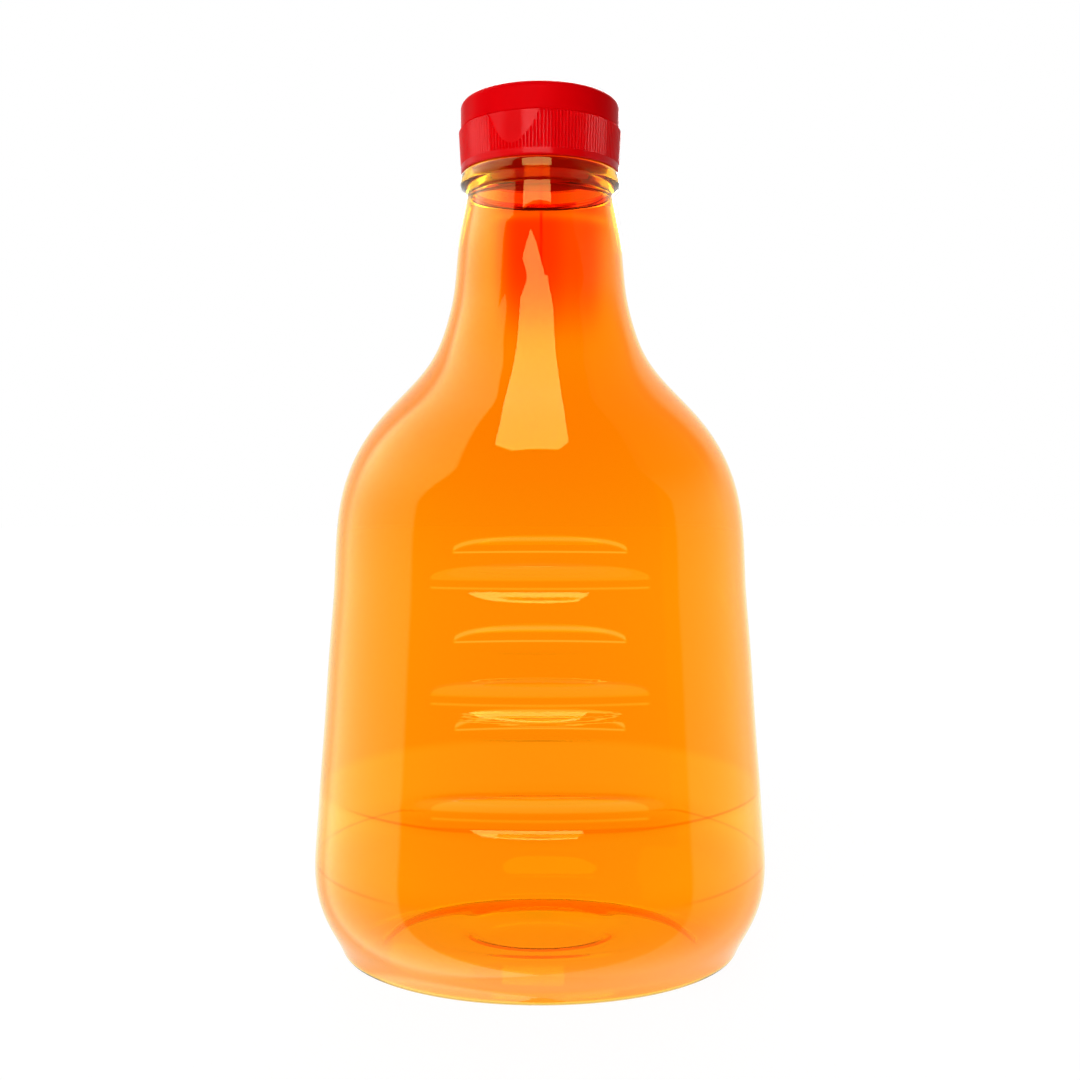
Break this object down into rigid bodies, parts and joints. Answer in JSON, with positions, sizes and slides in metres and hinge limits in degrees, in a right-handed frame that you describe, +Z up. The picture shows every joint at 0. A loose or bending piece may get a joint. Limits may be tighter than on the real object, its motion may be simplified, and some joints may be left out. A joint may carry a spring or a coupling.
{
  "type": "honey bottle",
  "caption": "Squeeze bottle of honey: oval see-through amber body with grip grooves front and back, round neck, knurled red cap with a flip lid.",
  "frame": {"origin": "centre of the standing ring, at the level of the table", "axes": "+Z up along the bottle, +X to its right, -Y towards its front; the thumb notch of the cap is left of the front"},
  "size_m": [0.1184, 0.0856, 0.219],
  "materials": {
    "bottle_plastic": "clear amber-tinted glossy plastic",
    "honey": "clear deep amber liquid",
    "cap_plastic": "glossy red moulded plastic"
  },
  "bodies": {
    "root": {"bottle": "bottle_plastic", "honey": "honey", "cap_base": "cap_plastic", "flip_lid": "cap_plastic"}
  },
  "joints": []
}
